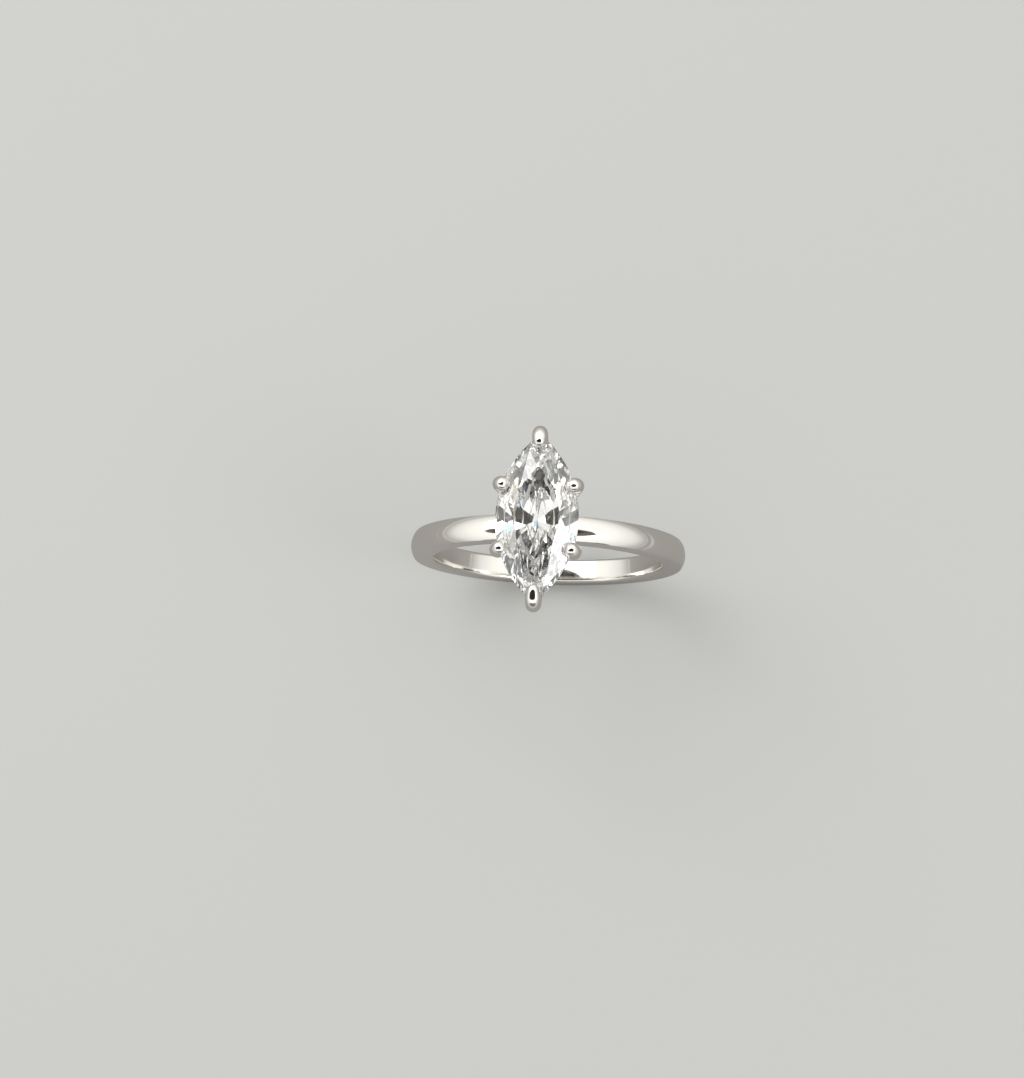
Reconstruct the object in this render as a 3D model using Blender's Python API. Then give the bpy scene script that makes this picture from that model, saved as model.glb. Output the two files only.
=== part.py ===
"""A solitaire engagement ring: a marquise diamond held by six claws on a polished white-metal shank.

The frame has its origin at the centre of the finger hole, +Y along the finger and +Z up through the
stone. The shank is a hoop in the XZ plane, and the stone's long axis lies along Y.

Sizes are given in millimetres and each finished mesh is scaled to metres. Every piece that a goldsmith
would make on the bench is its own object: the shank, the peg plate, the two gallery rails, the six
claws and the diamond. They meet with a solder gap, in seats that are cut as they are on the bench.
"""

import math

import bmesh
import bpy
from mathutils import Matrix, Vector
from mathutils.geometry import intersect_plane_plane

MM = 0.001

# Shank: a D-shaped band, US size 6
FINGER_DIAMETER = 16.5
SHANK_WIDTH = 1.8
SHANK_THICKNESS = 1.7
SHANK_DOME_RADIUS = 1.5
SHANK_INNER_ROUND = 0.25
SHANK_STEPS = 96
SHANK_DOME_STEPS = 10
SHANK_ROUND_STEPS = 3
PAST_SHANK = 1.0

# Marquise brilliant diamond
STONE_LENGTH = 11.2
STONE_WIDTH = 5.45
TABLE_SHARE = 0.58
CROWN_HEIGHT = 0.145 * STONE_WIDTH
GIRDLE_HEIGHT = 0.04 * STONE_WIDTH
PAVILION_DEPTH = 0.43 * STONE_WIDTH
STAR_SHARE = 0.55
LOWER_HALF_SHARE = 0.78
CULET_FLAT = 0.02
GIRDLE_FACETS = 28
MAIN_PLACES = (0.0, 0.5, 1.0)
CROWN_FACING = 0.1
MERGED_UNDER = 0.002

# Head: how high the stone sits, and the wire it is made of
GIRDLE_ABOVE_SHANK = 3.05
SEAT_FLAT_DEPTH = 0.13
CLAW_RADIUS = 0.5
CLAW_TIP_RADIUS = 0.34
CLAW_BEND_STEP = 0.01
CLAW_OVERHANG = 0.04
CLAW_KNEE_RISE = 0.34
CLAW_TIP_RISE = 0.1
SIDE_CLAW_Y = 2.15
SIDE_CLAW_REACH = 0.5
TIP_CLAW_REACH = 1.05
BALL_SEGMENTS = 16
BALL_RINGS = 10
RAIL_THICKNESS = 0.6
RAIL_HEIGHT = 0.7
RAIL_ROUND = 0.15
RAIL_STEPS = 20
LOWER_RAIL_LENGTH = 6.0
LOWER_RAIL_WIDTH = 2.3
UPPER_RAIL_BELOW_GIRDLE = 1.45
CLAW_RAIL_OFFSET = 0.45
PLATE_THICKNESS = 0.4
PEG_RADIUS = 0.54
ROUND_SIDES = 32
SOLDER_GAP = 0.015

# Places that follow from the sizes
FINGER_RADIUS = FINGER_DIAMETER / 2
SHANK_TOP = FINGER_RADIUS + SHANK_THICKNESS
SEAT_Z = SHANK_TOP - SEAT_FLAT_DEPTH
HEAD_FOOT_Z = SEAT_Z + SOLDER_GAP
GIRDLE_Z = SHANK_TOP + GIRDLE_ABOVE_SHANK
LOWER_RAIL_Z = HEAD_FOOT_Z + RAIL_HEIGHT / 2
UPPER_RAIL_Z = GIRDLE_Z - UPPER_RAIL_BELOW_GIRDLE

WHITE_GOLD = {"color": (0.80, 0.79, 0.77, 1), "metallic": 1.0, "roughness": 0.12}
DIAMOND = {"color": (0.97, 0.98, 1.0, 1), "metallic": 0.0, "roughness": 0.0}


class Marquise:
    """An outline of two equal arcs that meet in points at +Y and -Y."""

    def __init__(self, length, width):
        self.half_length, self.half_width = length / 2, width / 2
        self.radius = (self.half_length**2 + self.half_width**2) / (2 * self.half_width)
        self.setback = self.radius - self.half_width
        self.sweep = math.asin(self.half_length / self.radius)

    def at(self, share, side=1):
        """The point at a share of the way from the widest place to a tip, on the +X or -X arc."""
        angle = share * self.sweep
        across = self.radius * math.cos(angle) - self.setback
        return Vector((side * across, self.radius * math.sin(angle), 0))

    def normal(self, share, side=1):
        """The outward direction there. At a tip it lies along Y."""
        if abs(share) == 1:
            return Vector((0, share, 0))
        angle = share * self.sweep
        return Vector((side * math.cos(angle), math.sin(angle), 0))

    def share_at_y(self, y):
        return math.asin(y / self.radius) / self.sweep

    def offset(self, amount):
        """The outline that runs the same distance outside this one all round."""
        radius = self.radius + amount
        half_length = math.sqrt(radius**2 - self.setback**2)
        return Marquise(2 * half_length, 2 * (radius - self.setback))

    def loop(self, steps):
        """Points once round the outline, counter-clockwise from the -Y tip."""
        shares = [2 * i / steps - 1 for i in range(steps)]
        right = [self.at(share) for share in shares]
        left = [self.at(-share, side=-1) for share in shares]
        return right + left


def marquise_through(half_length, point):
    """The marquise of that half length whose arc passes through a point."""
    x, y = abs(point.x), abs(point.y)
    rest = half_length**2 - x**2 - y**2
    half_width = (-rest + math.sqrt(rest**2 + 4 * x**2 * half_length**2)) / (2 * x)
    return Marquise(2 * half_length, 2 * half_width)


def clear_scene():
    for obj in list(bpy.data.objects):
        bpy.data.objects.remove(obj)


def material(name, finish):
    made = bpy.data.materials.new(name)
    made.use_nodes = True
    shader = made.node_tree.nodes["Principled BSDF"]
    shader.inputs["Base Color"].default_value = finish["color"]
    shader.inputs["Metallic"].default_value = finish["metallic"]
    shader.inputs["Roughness"].default_value = finish["roughness"]
    return made


def finish(bm, name, surface=None, smooth_under=math.radians(35)):
    """Scales a mesh from millimetres to metres and makes it an object. With no surface, it is a cutter."""
    bmesh.ops.scale(bm, vec=(MM, MM, MM), verts=bm.verts)
    mesh = bpy.data.meshes.new(name)
    bm.to_mesh(mesh)
    bm.free()
    obj = bpy.data.objects.new(name, mesh)
    bpy.context.scene.collection.objects.link(obj)
    if surface is None:
        obj.hide_render = True
        obj.display_type = "WIRE"
        return obj
    mesh.materials.append(surface)
    mesh.shade_smooth()
    mesh.set_sharp_from_angle(angle=smooth_under)
    return obj


def boolean(obj, other, operation="DIFFERENCE"):
    modifier = obj.modifiers.new(f"{operation.lower()}_{other.name}", "BOOLEAN")
    modifier.operation = operation
    modifier.solver = "EXACT"
    modifier.object = other


def face_outwards(bm):
    bmesh.ops.recalc_face_normals(bm, faces=bm.faces)


def slice_off(bm, point, normal):
    """Removes what lies beyond a plane and closes the cut with one flat face."""
    everything = bm.verts[:] + bm.edges[:] + bm.faces[:]
    cut = bmesh.ops.bisect_plane(
        bm, geom=everything, dist=1e-5, plane_co=point, plane_no=normal, clear_outer=True
    )
    edges = [part for part in cut["geom_cut"] if isinstance(part, bmesh.types.BMEdge)]
    if edges:
        bmesh.ops.holes_fill(bm, edges=edges, sides=0)


# Shank


def shank_profile():
    """The D-shaped section as (radius, y) points, from the inside edge round the dome."""
    half = SHANK_WIDTH / 2
    dome_angle = math.asin(half / SHANK_DOME_RADIUS)
    dome_centre = SHANK_TOP - SHANK_DOME_RADIUS
    round_centre = half - SHANK_INNER_ROUND
    points = []
    for i in range(SHANK_ROUND_STEPS + 1):
        angle = math.pi / 2 * i / SHANK_ROUND_STEPS
        radius = FINGER_RADIUS + SHANK_INNER_ROUND * (1 - math.cos(angle))
        points.append((radius, round_centre + SHANK_INNER_ROUND * math.sin(angle)))
    for i in range(SHANK_DOME_STEPS + 1):
        angle = dome_angle * (1 - 2 * i / SHANK_DOME_STEPS)
        radius = dome_centre + SHANK_DOME_RADIUS * math.cos(angle)
        points.append((radius, SHANK_DOME_RADIUS * math.sin(angle)))
    other_side = [(radius, -y) for radius, y in points[: SHANK_ROUND_STEPS + 1]]
    return points + other_side[::-1]


def make_shank(metal):
    bm = bmesh.new()
    ring = [bm.verts.new((radius, y, 0)) for radius, y in shank_profile()]
    edges = [bm.edges.new((a, b)) for a, b in zip(ring, ring[1:] + ring[:1])]
    bmesh.ops.spin(
        bm,
        geom=ring + edges,
        cent=(0, 0, 0),
        axis=(0, 1, 0),
        angle=2 * math.pi,
        steps=SHANK_STEPS,
        use_merge=True,
    )
    face_outwards(bm)
    shank = finish(bm, "shank", metal)
    boolean(shank, seat_cutter())
    boolean(shank, peg_hole_cutter())
    return shank


def seat_cutter():
    """A block whose underside files the flat that the head stands on."""
    bm = bmesh.new()
    bmesh.ops.create_cube(bm, size=2 * SHANK_WIDTH)
    bmesh.ops.translate(bm, vec=(0, 0, SEAT_Z + SHANK_WIDTH), verts=bm.verts)
    return finish(bm, "seat_cutter")


def peg_hole_cutter():
    bm = bmesh.new()
    add_cylinder(bm, PEG_RADIUS + SOLDER_GAP, FINGER_RADIUS - PAST_SHANK, SHANK_TOP + PAST_SHANK)
    return finish(bm, "peg_hole_cutter")


def add_cylinder(bm, radius, bottom, top):
    """An upright cylinder on the Z axis."""
    made = bmesh.ops.create_cone(
        bm,
        cap_ends=True,
        segments=ROUND_SIDES,
        radius1=radius,
        radius2=radius,
        depth=top - bottom,
    )
    bmesh.ops.translate(bm, vec=(0, 0, (top + bottom) / 2), verts=made["verts"])


# Diamond


def plane_through(first, second, third):
    """(point, normal) of the plane through three points, with its normal away from the stone's middle."""
    normal = (second - first).cross(third - first).normalized()
    return first, normal if normal.dot(first) > 0 else -normal


def facet_planes():
    """Every flat of the marquise brilliant as (point, outward normal), about the middle of its girdle."""
    outline = Marquise(STONE_LENGTH, STONE_WIDTH)
    top, bottom = GIRDLE_HEIGHT / 2, -GIRDLE_HEIGHT / 2
    table = Vector((0, 0, top + CROWN_HEIGHT))
    culet = Vector((0, 0, bottom - PAVILION_DEPTH))
    up, down = Vector((0, 0, 1)), Vector((0, 0, -1))
    planes = [(table, up), (culet + up * CULET_FLAT, down)]
    for side in (1, -1):
        for i in range(GIRDLE_FACETS):
            share = (2 * i + 1) / GIRDLE_FACETS - 1
            planes.append((outline.at(share, side), outline.normal(share, side)))
        for half in (1, -1):
            for near, far in zip(MAIN_PLACES, MAIN_PLACES[1:]):
                ends = [half * near, half * far]
                planes += crown_planes(outline, ends, side, top, table)
                planes += pavilion_planes(outline, ends, side, bottom, culet)
    return planes


def level(point, height):
    return Vector((point.x, point.y, height))


def along(outline, share, side):
    """The level direction of the outline's edge at a place on it."""
    return outline.normal(share, side).cross(Vector((0, 0, 1)))


def crown_planes(outline, ends, side, top, table):
    """Two kite facets, the star between them and the two upper girdle facets under it."""
    feet = [level(outline.at(share, side), top) for share in ends]
    heads = [level(TABLE_SHARE * foot, table.z) for foot in feet]
    kites = [
        plane_through(foot, head, foot + along(outline, share, side))
        for foot, head, share in zip(feet, heads, ends)
    ]
    on_ridge, ridge = intersect_plane_plane(*kites[0], *kites[1])
    star_height = table.z - STAR_SHARE * CROWN_HEIGHT
    star_tip = on_ridge + ridge * (star_height - on_ridge.z) / ridge.z
    middle = level(outline.at(sum(ends) / 2, side), top)
    star = plane_through(heads[0], heads[1], star_tip)
    halves = [plane_through(foot, middle, star_tip) for foot in feet]
    return kites + [star] + halves


def pavilion_planes(outline, ends, side, bottom, culet):
    """The pavilion mains, which run to the culet, and the two lower girdle facets between them.

    A tip of the stone has no main: there the lower girdle facets of both sides meet in a keel.
    """
    feet = [level(outline.at(share, side), bottom) for share in ends]
    mains = [
        plane_through(foot, culet, foot + along(outline, share, side))
        for foot, share in zip(feet, ends)
        if abs(share) < 1
    ]
    keel = (culet, Vector((side, 0, 0)))
    neighbour = mains[1] if len(mains) == 2 else keel
    ridge = intersect_plane_plane(*mains[0], *neighbour)[1]
    meeting = culet + ridge / ridge.z * PAVILION_DEPTH * (1 - LOWER_HALF_SHARE)
    middle = level(outline.at(sum(ends) / 2, side), bottom)
    return mains + [plane_through(foot, middle, meeting) for foot in feet]


def cut_stone():
    """Grinds a block down to the stone, plane by plane, about the middle of its girdle."""
    bm = bmesh.new()
    bmesh.ops.create_cube(bm, size=2 * STONE_LENGTH)
    for point, normal in facet_planes():
        slice_off(bm, point, normal)
    bmesh.ops.remove_doubles(bm, verts=bm.verts, dist=MERGED_UNDER)
    face_outwards(bm)
    return bm


def make_stone():
    bm = cut_stone()
    bmesh.ops.translate(bm, vec=(0, 0, GIRDLE_Z), verts=bm.verts)
    return finish(bm, "marquise_diamond", material("diamond", DIAMOND), smooth_under=0)


def make_stone_cutter():
    """The stone, larger by the solder gap, which cuts the bearings in the claws."""
    bm = cut_stone()
    half_size = Vector((STONE_WIDTH, STONE_LENGTH, 2 * CROWN_HEIGHT)) / 2
    growth = [1 + SOLDER_GAP / half for half in half_size]
    bmesh.ops.scale(bm, vec=growth, verts=bm.verts)
    bmesh.ops.triangulate(bm, faces=bm.faces)
    bmesh.ops.translate(bm, vec=(0, 0, GIRDLE_Z), verts=bm.verts)
    return finish(bm, "stone_cutter")


# Head


def rail_section(grown):
    """The rail's section as (outwards, upwards) points: a rectangle with cut corners, grown all round."""
    across, up = RAIL_THICKNESS / 2 + grown, RAIL_HEIGHT / 2 + grown
    right = [(across, RAIL_ROUND - up), (across, up - RAIL_ROUND), (across - RAIL_ROUND, up)]
    left = [(-outwards, upwards) for outwards, upwards in right[::-1]]
    return right + left + [(RAIL_ROUND - across, -up), (across - RAIL_ROUND, -up)]


def make_rail(outline, height, grown=0.0):
    """A closed rail of even section along a marquise outline, mitred at its two tips."""
    bm = bmesh.new()
    rings = []
    for outwards, upwards in rail_section(grown):
        points = outline.offset(outwards).loop(RAIL_STEPS)
        rings.append([bm.verts.new(level(point, height + upwards)) for point in points])
    for ring, after in zip(rings, rings[1:] + rings[:1]):
        for i in range(len(ring)):
            bm.faces.new((ring[i - 1], ring[i], after[i], after[i - 1]))
    face_outwards(bm)
    return bm


def crown_rise(place):
    """How far the crown's surface stands above the middle of the girdle at a place inside the outline."""
    heights = [
        (point - level(place, 0)).dot(normal) / normal.z
        for point, normal in facet_planes()
        if normal.z > CROWN_FACING
    ]
    return min(heights)


class Claw:
    """A round wire that leans out to the girdle and is bent over the crown, with the balls that shape it."""

    def __init__(self, share, side, reach):
        stone = Marquise(STONE_LENGTH, STONE_WIDTH)
        feet = Marquise(LOWER_RAIL_LENGTH, LOWER_RAIL_WIDTH).offset(CLAW_RAIL_OFFSET)
        contact, outward = stone.at(share, side), stone.normal(share, side)
        inner = contact - outward * (reach - CLAW_TIP_RADIUS)
        self.outward = outward
        self.foot = level(feet.at(share, side), HEAD_FOOT_Z)
        self.knee = level(contact + outward * CLAW_OVERHANG, GIRDLE_Z + CLAW_KNEE_RISE)
        self.tip = level(inner, GIRDLE_Z + crown_rise(inner) + CLAW_TIP_RISE)

    def shaft_at(self, height):
        """The middle of the straight shaft at a height."""
        return self.foot.lerp(self.knee, (height - self.foot.z) / (self.knee.z - self.foot.z))


def claws():
    """name: claw, for the two at the stone's points and the four on its long sides."""
    side_share = Marquise(STONE_LENGTH, STONE_WIDTH).share_at_y(SIDE_CLAW_Y)
    named = {}
    for name, end in (("north", 1), ("south", -1)):
        named[f"{name}_claw"] = Claw(end, 1, TIP_CLAW_REACH)
        named[f"{name}_east_claw"] = Claw(end * side_share, 1, SIDE_CLAW_REACH)
        named[f"{name}_west_claw"] = Claw(end * side_share, -1, SIDE_CLAW_REACH)
    return named


def hull_of_balls(balls):
    """The tightest skin round some (centre, radius) balls."""
    bm = bmesh.new()
    for centre, radius in balls:
        bmesh.ops.create_uvsphere(
            bm,
            u_segments=BALL_SEGMENTS,
            v_segments=BALL_RINGS,
            radius=radius,
            matrix=Matrix.Translation(centre),
        )
    bmesh.ops.delete(bm, geom=bm.edges, context="EDGES_FACES")
    hull = bmesh.ops.convex_hull(bm, input=bm.verts)
    bmesh.ops.delete(bm, geom=hull["geom_interior"], context="VERTS")
    face_outwards(bm)
    return bm


def make_claw(name, claw, metal, cutters):
    below = claw.shaft_at(HEAD_FOOT_Z - 2 * CLAW_RADIUS)
    shaft = hull_of_balls([(below, CLAW_RADIUS), (claw.knee, CLAW_RADIUS)])
    slice_off(shaft, Vector((0, 0, HEAD_FOOT_Z)), Vector((0, 0, -1)))
    bent_end = hull_of_balls([(claw.knee, CLAW_RADIUS - CLAW_BEND_STEP), (claw.tip, CLAW_TIP_RADIUS)])
    made = finish(shaft, name, metal)
    boolean(made, finish(bent_end, f"{name}_end"), "UNION")
    for cutter in cutters:
        boolean(made, cutter)


def rail_outlines(named_claws):
    """name: (outline, height) of the rails. Each runs just inside the claws' shafts at its height."""
    end = named_claws["north_claw"].shaft_at(UPPER_RAIL_Z)
    side = named_claws["north_east_claw"]
    inside = side.shaft_at(UPPER_RAIL_Z) - side.outward * CLAW_RAIL_OFFSET
    upper = marquise_through(end.y - CLAW_RAIL_OFFSET, inside)
    return {
        "lower_gallery_rail": (Marquise(LOWER_RAIL_LENGTH, LOWER_RAIL_WIDTH), LOWER_RAIL_Z),
        "upper_gallery_rail": (upper, UPPER_RAIL_Z),
    }


def make_peg_plate(metal):
    """The plate that closes the head's foot, with the peg that goes through the shank."""
    rail = Marquise(LOWER_RAIL_LENGTH, LOWER_RAIL_WIDTH)
    outline = rail.offset(-RAIL_THICKNESS / 2 - SOLDER_GAP)
    bm = bmesh.new()
    bottom = [bm.verts.new(level(point, HEAD_FOOT_Z)) for point in outline.loop(RAIL_STEPS)]
    face = bm.faces.new(bottom)
    raised = bmesh.ops.extrude_face_region(bm, geom=[face])["geom"]
    top = [part for part in raised if isinstance(part, bmesh.types.BMVert)]
    bmesh.ops.translate(bm, vec=(0, 0, PLATE_THICKNESS), verts=top)
    face_outwards(bm)
    plate = finish(bm, "peg_plate", metal)
    peg = bmesh.new()
    add_cylinder(peg, PEG_RADIUS, FINGER_RADIUS + SOLDER_GAP, HEAD_FOOT_Z + PLATE_THICKNESS / 2)
    boolean(plate, finish(peg, "peg"), "UNION")


def main():
    clear_scene()
    metal = material("white_gold", WHITE_GOLD)
    make_shank(metal)
    make_peg_plate(metal)
    make_stone()
    cutters = [make_stone_cutter()]
    named_claws = claws()
    for name, (outline, height) in rail_outlines(named_claws).items():
        finish(make_rail(outline, height), name, metal)
        cutters.append(finish(make_rail(outline, height, SOLDER_GAP), f"{name}_cutter"))
    for name, claw in named_claws.items():
        make_claw(name, claw, metal, cutters)


if __name__ == "__main__":
    main()
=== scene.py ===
# %% [markdown]
# # Finishing a solitaire ring
#
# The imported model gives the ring's pieces as plain solids at their true size. This lesson puts the
# finished look around them: a band polished like a mirror, claws of round wire bent over the stone,
# and a diamond that bends light.
#
# A ring is tiny, so every piece is modelled in millimetres and brought to metres when it is done.
# Numbers then read as a goldsmith would say them.

# %% Load the frame
import math
import random

import bmesh
import bpy
from mathutils import Matrix, Vector
from mathutils.geometry import intersect_plane_plane


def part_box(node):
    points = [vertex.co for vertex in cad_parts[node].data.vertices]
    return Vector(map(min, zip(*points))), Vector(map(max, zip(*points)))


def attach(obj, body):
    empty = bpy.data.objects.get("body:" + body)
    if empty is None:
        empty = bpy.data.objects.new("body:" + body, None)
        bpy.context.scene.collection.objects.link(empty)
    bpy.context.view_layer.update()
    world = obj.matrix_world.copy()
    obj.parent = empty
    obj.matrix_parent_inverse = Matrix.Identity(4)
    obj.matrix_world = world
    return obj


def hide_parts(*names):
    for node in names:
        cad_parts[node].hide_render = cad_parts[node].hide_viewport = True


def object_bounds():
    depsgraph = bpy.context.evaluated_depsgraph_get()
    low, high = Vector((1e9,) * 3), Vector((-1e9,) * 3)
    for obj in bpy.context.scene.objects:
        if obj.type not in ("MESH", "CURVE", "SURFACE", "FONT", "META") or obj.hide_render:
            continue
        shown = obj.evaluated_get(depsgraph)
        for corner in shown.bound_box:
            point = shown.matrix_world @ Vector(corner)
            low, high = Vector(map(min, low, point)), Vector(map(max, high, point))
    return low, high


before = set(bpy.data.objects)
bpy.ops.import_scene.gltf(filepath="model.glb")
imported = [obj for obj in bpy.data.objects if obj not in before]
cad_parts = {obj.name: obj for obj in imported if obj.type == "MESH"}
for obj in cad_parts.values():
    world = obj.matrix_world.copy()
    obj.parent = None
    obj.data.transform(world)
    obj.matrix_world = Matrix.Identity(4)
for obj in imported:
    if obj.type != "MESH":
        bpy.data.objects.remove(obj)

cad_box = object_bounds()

MM = 0.001
UP = Vector((0, 0, 1))
print("CAD nodes:", ", ".join(sorted(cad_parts)))

# %% [markdown]
# ## Places from the solids
#
# The box round a CAD node tells where that piece is. Everything below is worked out from these boxes
# and a few driving sizes, so the finish fits the solids without any fitting by eye. The gap between
# two soldered pieces is the one that the solids keep.

# %% Read the places
SOLDER_GAP = 0.015
STONE_LENGTH = 11.2


def box_mm(node):
    """The lowest and highest corners of a CAD node, in millimetres."""
    low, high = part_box(node)
    return Vector(low) / MM, Vector(high) / MM


shank_low, shank_high = box_mm("shank")
stone_low, stone_high = box_mm("marquise_diamond")
lower_low, lower_high = box_mm("lower_gallery_rail")
upper_low, upper_high = box_mm("upper_gallery_rail")
peg_low, peg_high = box_mm("peg_plate")

SHANK_RADIUS = shank_high.x
SHANK_WIDTH = shank_high.y - shank_low.y
STONE_WIDTH = stone_high.x - stone_low.x
CROWN_HEIGHT = 0.145 * STONE_WIDTH
GIRDLE_HEIGHT = 0.04 * STONE_WIDTH
PAVILION_DEPTH = 0.43 * STONE_WIDTH
GIRDLE_Z = stone_high.z - CROWN_HEIGHT - GIRDLE_HEIGHT / 2
HEAD_FOOT_Z = lower_low.z
stone_middle = Vector((0, 0, GIRDLE_Z))
print(f"band {2 * SHANK_RADIUS:.2f} mm across and {SHANK_WIDTH:.2f} mm wide")
print(f"stone {STONE_LENGTH:.2f} x {STONE_WIDTH:.2f} mm, its girdle at z = {GIRDLE_Z:.2f} mm")

# %% [markdown]
# ## The camera
#
# The camera looks down on the stone from a little in front and a little to the right, as someone does
# who holds a phone over an open ring box. It aims beside the stone, which sets the ring off centre, so
# no lens shift is needed.

# %% Set the camera
TILT_TO_FRONT = math.radians(11.0)
TILT_TO_RIGHT = math.radians(4.0)
ROLL = math.radians(2.45)
CAMERA_DISTANCE = 111.0
FIELD_WIDTH = 70.4
AIM_LEFT = math.radians(0.84)
AIM_DOWN = math.radians(0.71)
SENSOR = 36.0


def link(name, data):
    made = bpy.data.objects.new(name, data)
    bpy.context.scene.collection.objects.link(made)
    return made


def looking_along(sight):
    """The turn of a camera, lamp or card that faces back down a direction, with its top towards +Y."""
    right = Vector((0, 1, 0)).cross(sight).normalized()
    return Matrix((right, sight.cross(right), sight)).transposed().to_4x4()


sight = Vector((math.tan(TILT_TO_RIGHT), -math.tan(TILT_TO_FRONT), 1)).normalized()
eye = stone_middle + sight * CAMERA_DISTANCE
aim = Matrix.Rotation(ROLL, 4, "Z") @ Matrix.Rotation(-AIM_DOWN, 4, "X") @ Matrix.Rotation(AIM_LEFT, 4, "Y")
camera_data = bpy.data.cameras.new("camera")
camera_data.sensor_width = SENSOR
camera_data.lens = SENSOR * CAMERA_DISTANCE / FIELD_WIDTH
camera_data.clip_start = MM
camera = link("camera", camera_data)
camera.matrix_world = Matrix.Translation(eye * MM) @ looking_along(sight) @ aim
bpy.context.scene.camera = camera
print(f"camera {CAMERA_DISTANCE:.0f} mm from the stone, lens {camera_data.lens:.1f} mm")

# %% [markdown]
# ## From mesh to piece
#
# Each piece ends in the same way: its mesh is brought to metres, its edges are told where the surface
# is smooth and where it breaks, and it is tied to the CAD nodes that it stands for. One helper does
# that for all. A second helper cuts or joins meshes, for the seats and holes that a bench jeweller
# files and drills. A Boolean modifier on a throwaway object does it, because bmesh has none.

# %% Helpers for pieces
SMOOTH_UNDER = math.radians(40)
ON_PLANE = 1e-5
SAME_POINT = 1e-3


def mesh_of(bm, name):
    mesh = bpy.data.meshes.new(name)
    bm.to_mesh(mesh)
    bm.free()
    return mesh


def combined(bm, *others, operation="DIFFERENCE"):
    """The mesh with each other mesh cut from it or, with operation UNION, joined to it."""
    body = link("in_work", mesh_of(bm, "in_work"))
    tools = [link("tool", mesh_of(other, "tool")) for other in others]
    for tool in tools:
        modifier = body.modifiers.new("work", "BOOLEAN")
        modifier.operation = operation
        modifier.solver = "EXACT"
        modifier.object = tool
    bpy.context.view_layer.update()
    evaluated = body.evaluated_get(bpy.context.evaluated_depsgraph_get())
    result = bmesh.new()
    result.from_mesh(evaluated.to_mesh())
    for made in [body, *tools]:
        mesh = made.data
        bpy.data.objects.remove(made)
        bpy.data.meshes.remove(mesh)
    return result


def piece(bm, name, material, slot, *nodes, smooth_under=SMOOTH_UNDER):
    """Brings a mesh to metres and makes it the finished piece that stands for some CAD nodes."""
    bmesh.ops.scale(bm, vec=(MM, MM, MM), verts=bm.verts)
    mesh = mesh_of(bm, name)
    mesh.materials.append(material)
    mesh.shade_smooth()
    mesh.set_sharp_from_angle(angle=smooth_under)
    made = link(name, mesh)
    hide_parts(*nodes)
    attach(made, "root")
    print(f"{name}: {len(mesh.polygons)} faces")
    return made


def face_outwards(bm):
    bmesh.ops.recalc_face_normals(bm, faces=bm.faces)


def bevelled(bm, parts, size, segments, affect="EDGES"):
    """Rounds edges or, on a flat outline, its corners."""
    bmesh.ops.bevel(
        bm, geom=parts, affect=affect, offset=size, segments=segments, profile=0.5, material=-1
    )


def level(point, height):
    return Vector((point.x, point.y, height))


print("helpers ready")

# %% [markdown]
# ## Unevenness
#
# Nothing that a hand has made is the same all over. Three small helpers say so in shader nodes: a
# noise texture, a Bump node that turns a height into relief, and a Math node. The noise is read on
# Object coordinates, which stay in place on the piece. They are in metres, so a scale of 900 means
# about one cloud per millimetre.

# %% Helpers for materials


def noise(nodes, links, vector, scale, detail):
    made = nodes.new("ShaderNodeTexNoise")
    made.inputs["Scale"].default_value = scale
    made.inputs["Detail"].default_value = detail
    links.new(vector, made.inputs["Vector"])
    return made.outputs["Fac"]


def relief(nodes, links, height, strength, depth):
    made = nodes.new("ShaderNodeBump")
    made.inputs["Strength"].default_value = strength
    made.inputs["Distance"].default_value = depth
    links.new(height, made.inputs["Height"])
    return made


def arithmetic(nodes, links, operation, first, second=None, value=0.0):
    """A Math node on one or two outputs, or on an output and a number."""
    made = nodes.new("ShaderNodeMath")
    made.operation = operation
    links.new(first, made.inputs[0])
    made.inputs[1].default_value = value
    if second:
        links.new(second, made.inputs[1])
    return made.outputs["Value"]


print("noise, relief and arithmetic ready")

# %% [markdown]
# ## Polished white gold
#
# Polished metal has almost no colour of its own: it shows the room. What tells a worn ring from a
# perfect mirror is small. The polish is a little cloudy in places, the surface left by the buffing
# wheel is faintly wavy, and fine hairlines run the way a ring turns on the finger.
#
# The hairlines are noise squeezed along Y, across the band, so they stretch out round the hoop. The
# band is touched all day, so it is more scratched than the head.

# %% Polished metal
CLOUDS = 900.0
CLOUD_START, CLOUD_END = 0.35, 0.75
CLOUDIEST = 2.2
WAVES = 450.0
WAVE_DEPTH = 0.02 * MM
HAIRLINES = 2500.0
HAIRLINE_SQUEEZE = (1, 14, 1)
HAIRLINE_DEPTH = 0.002 * MM


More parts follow.
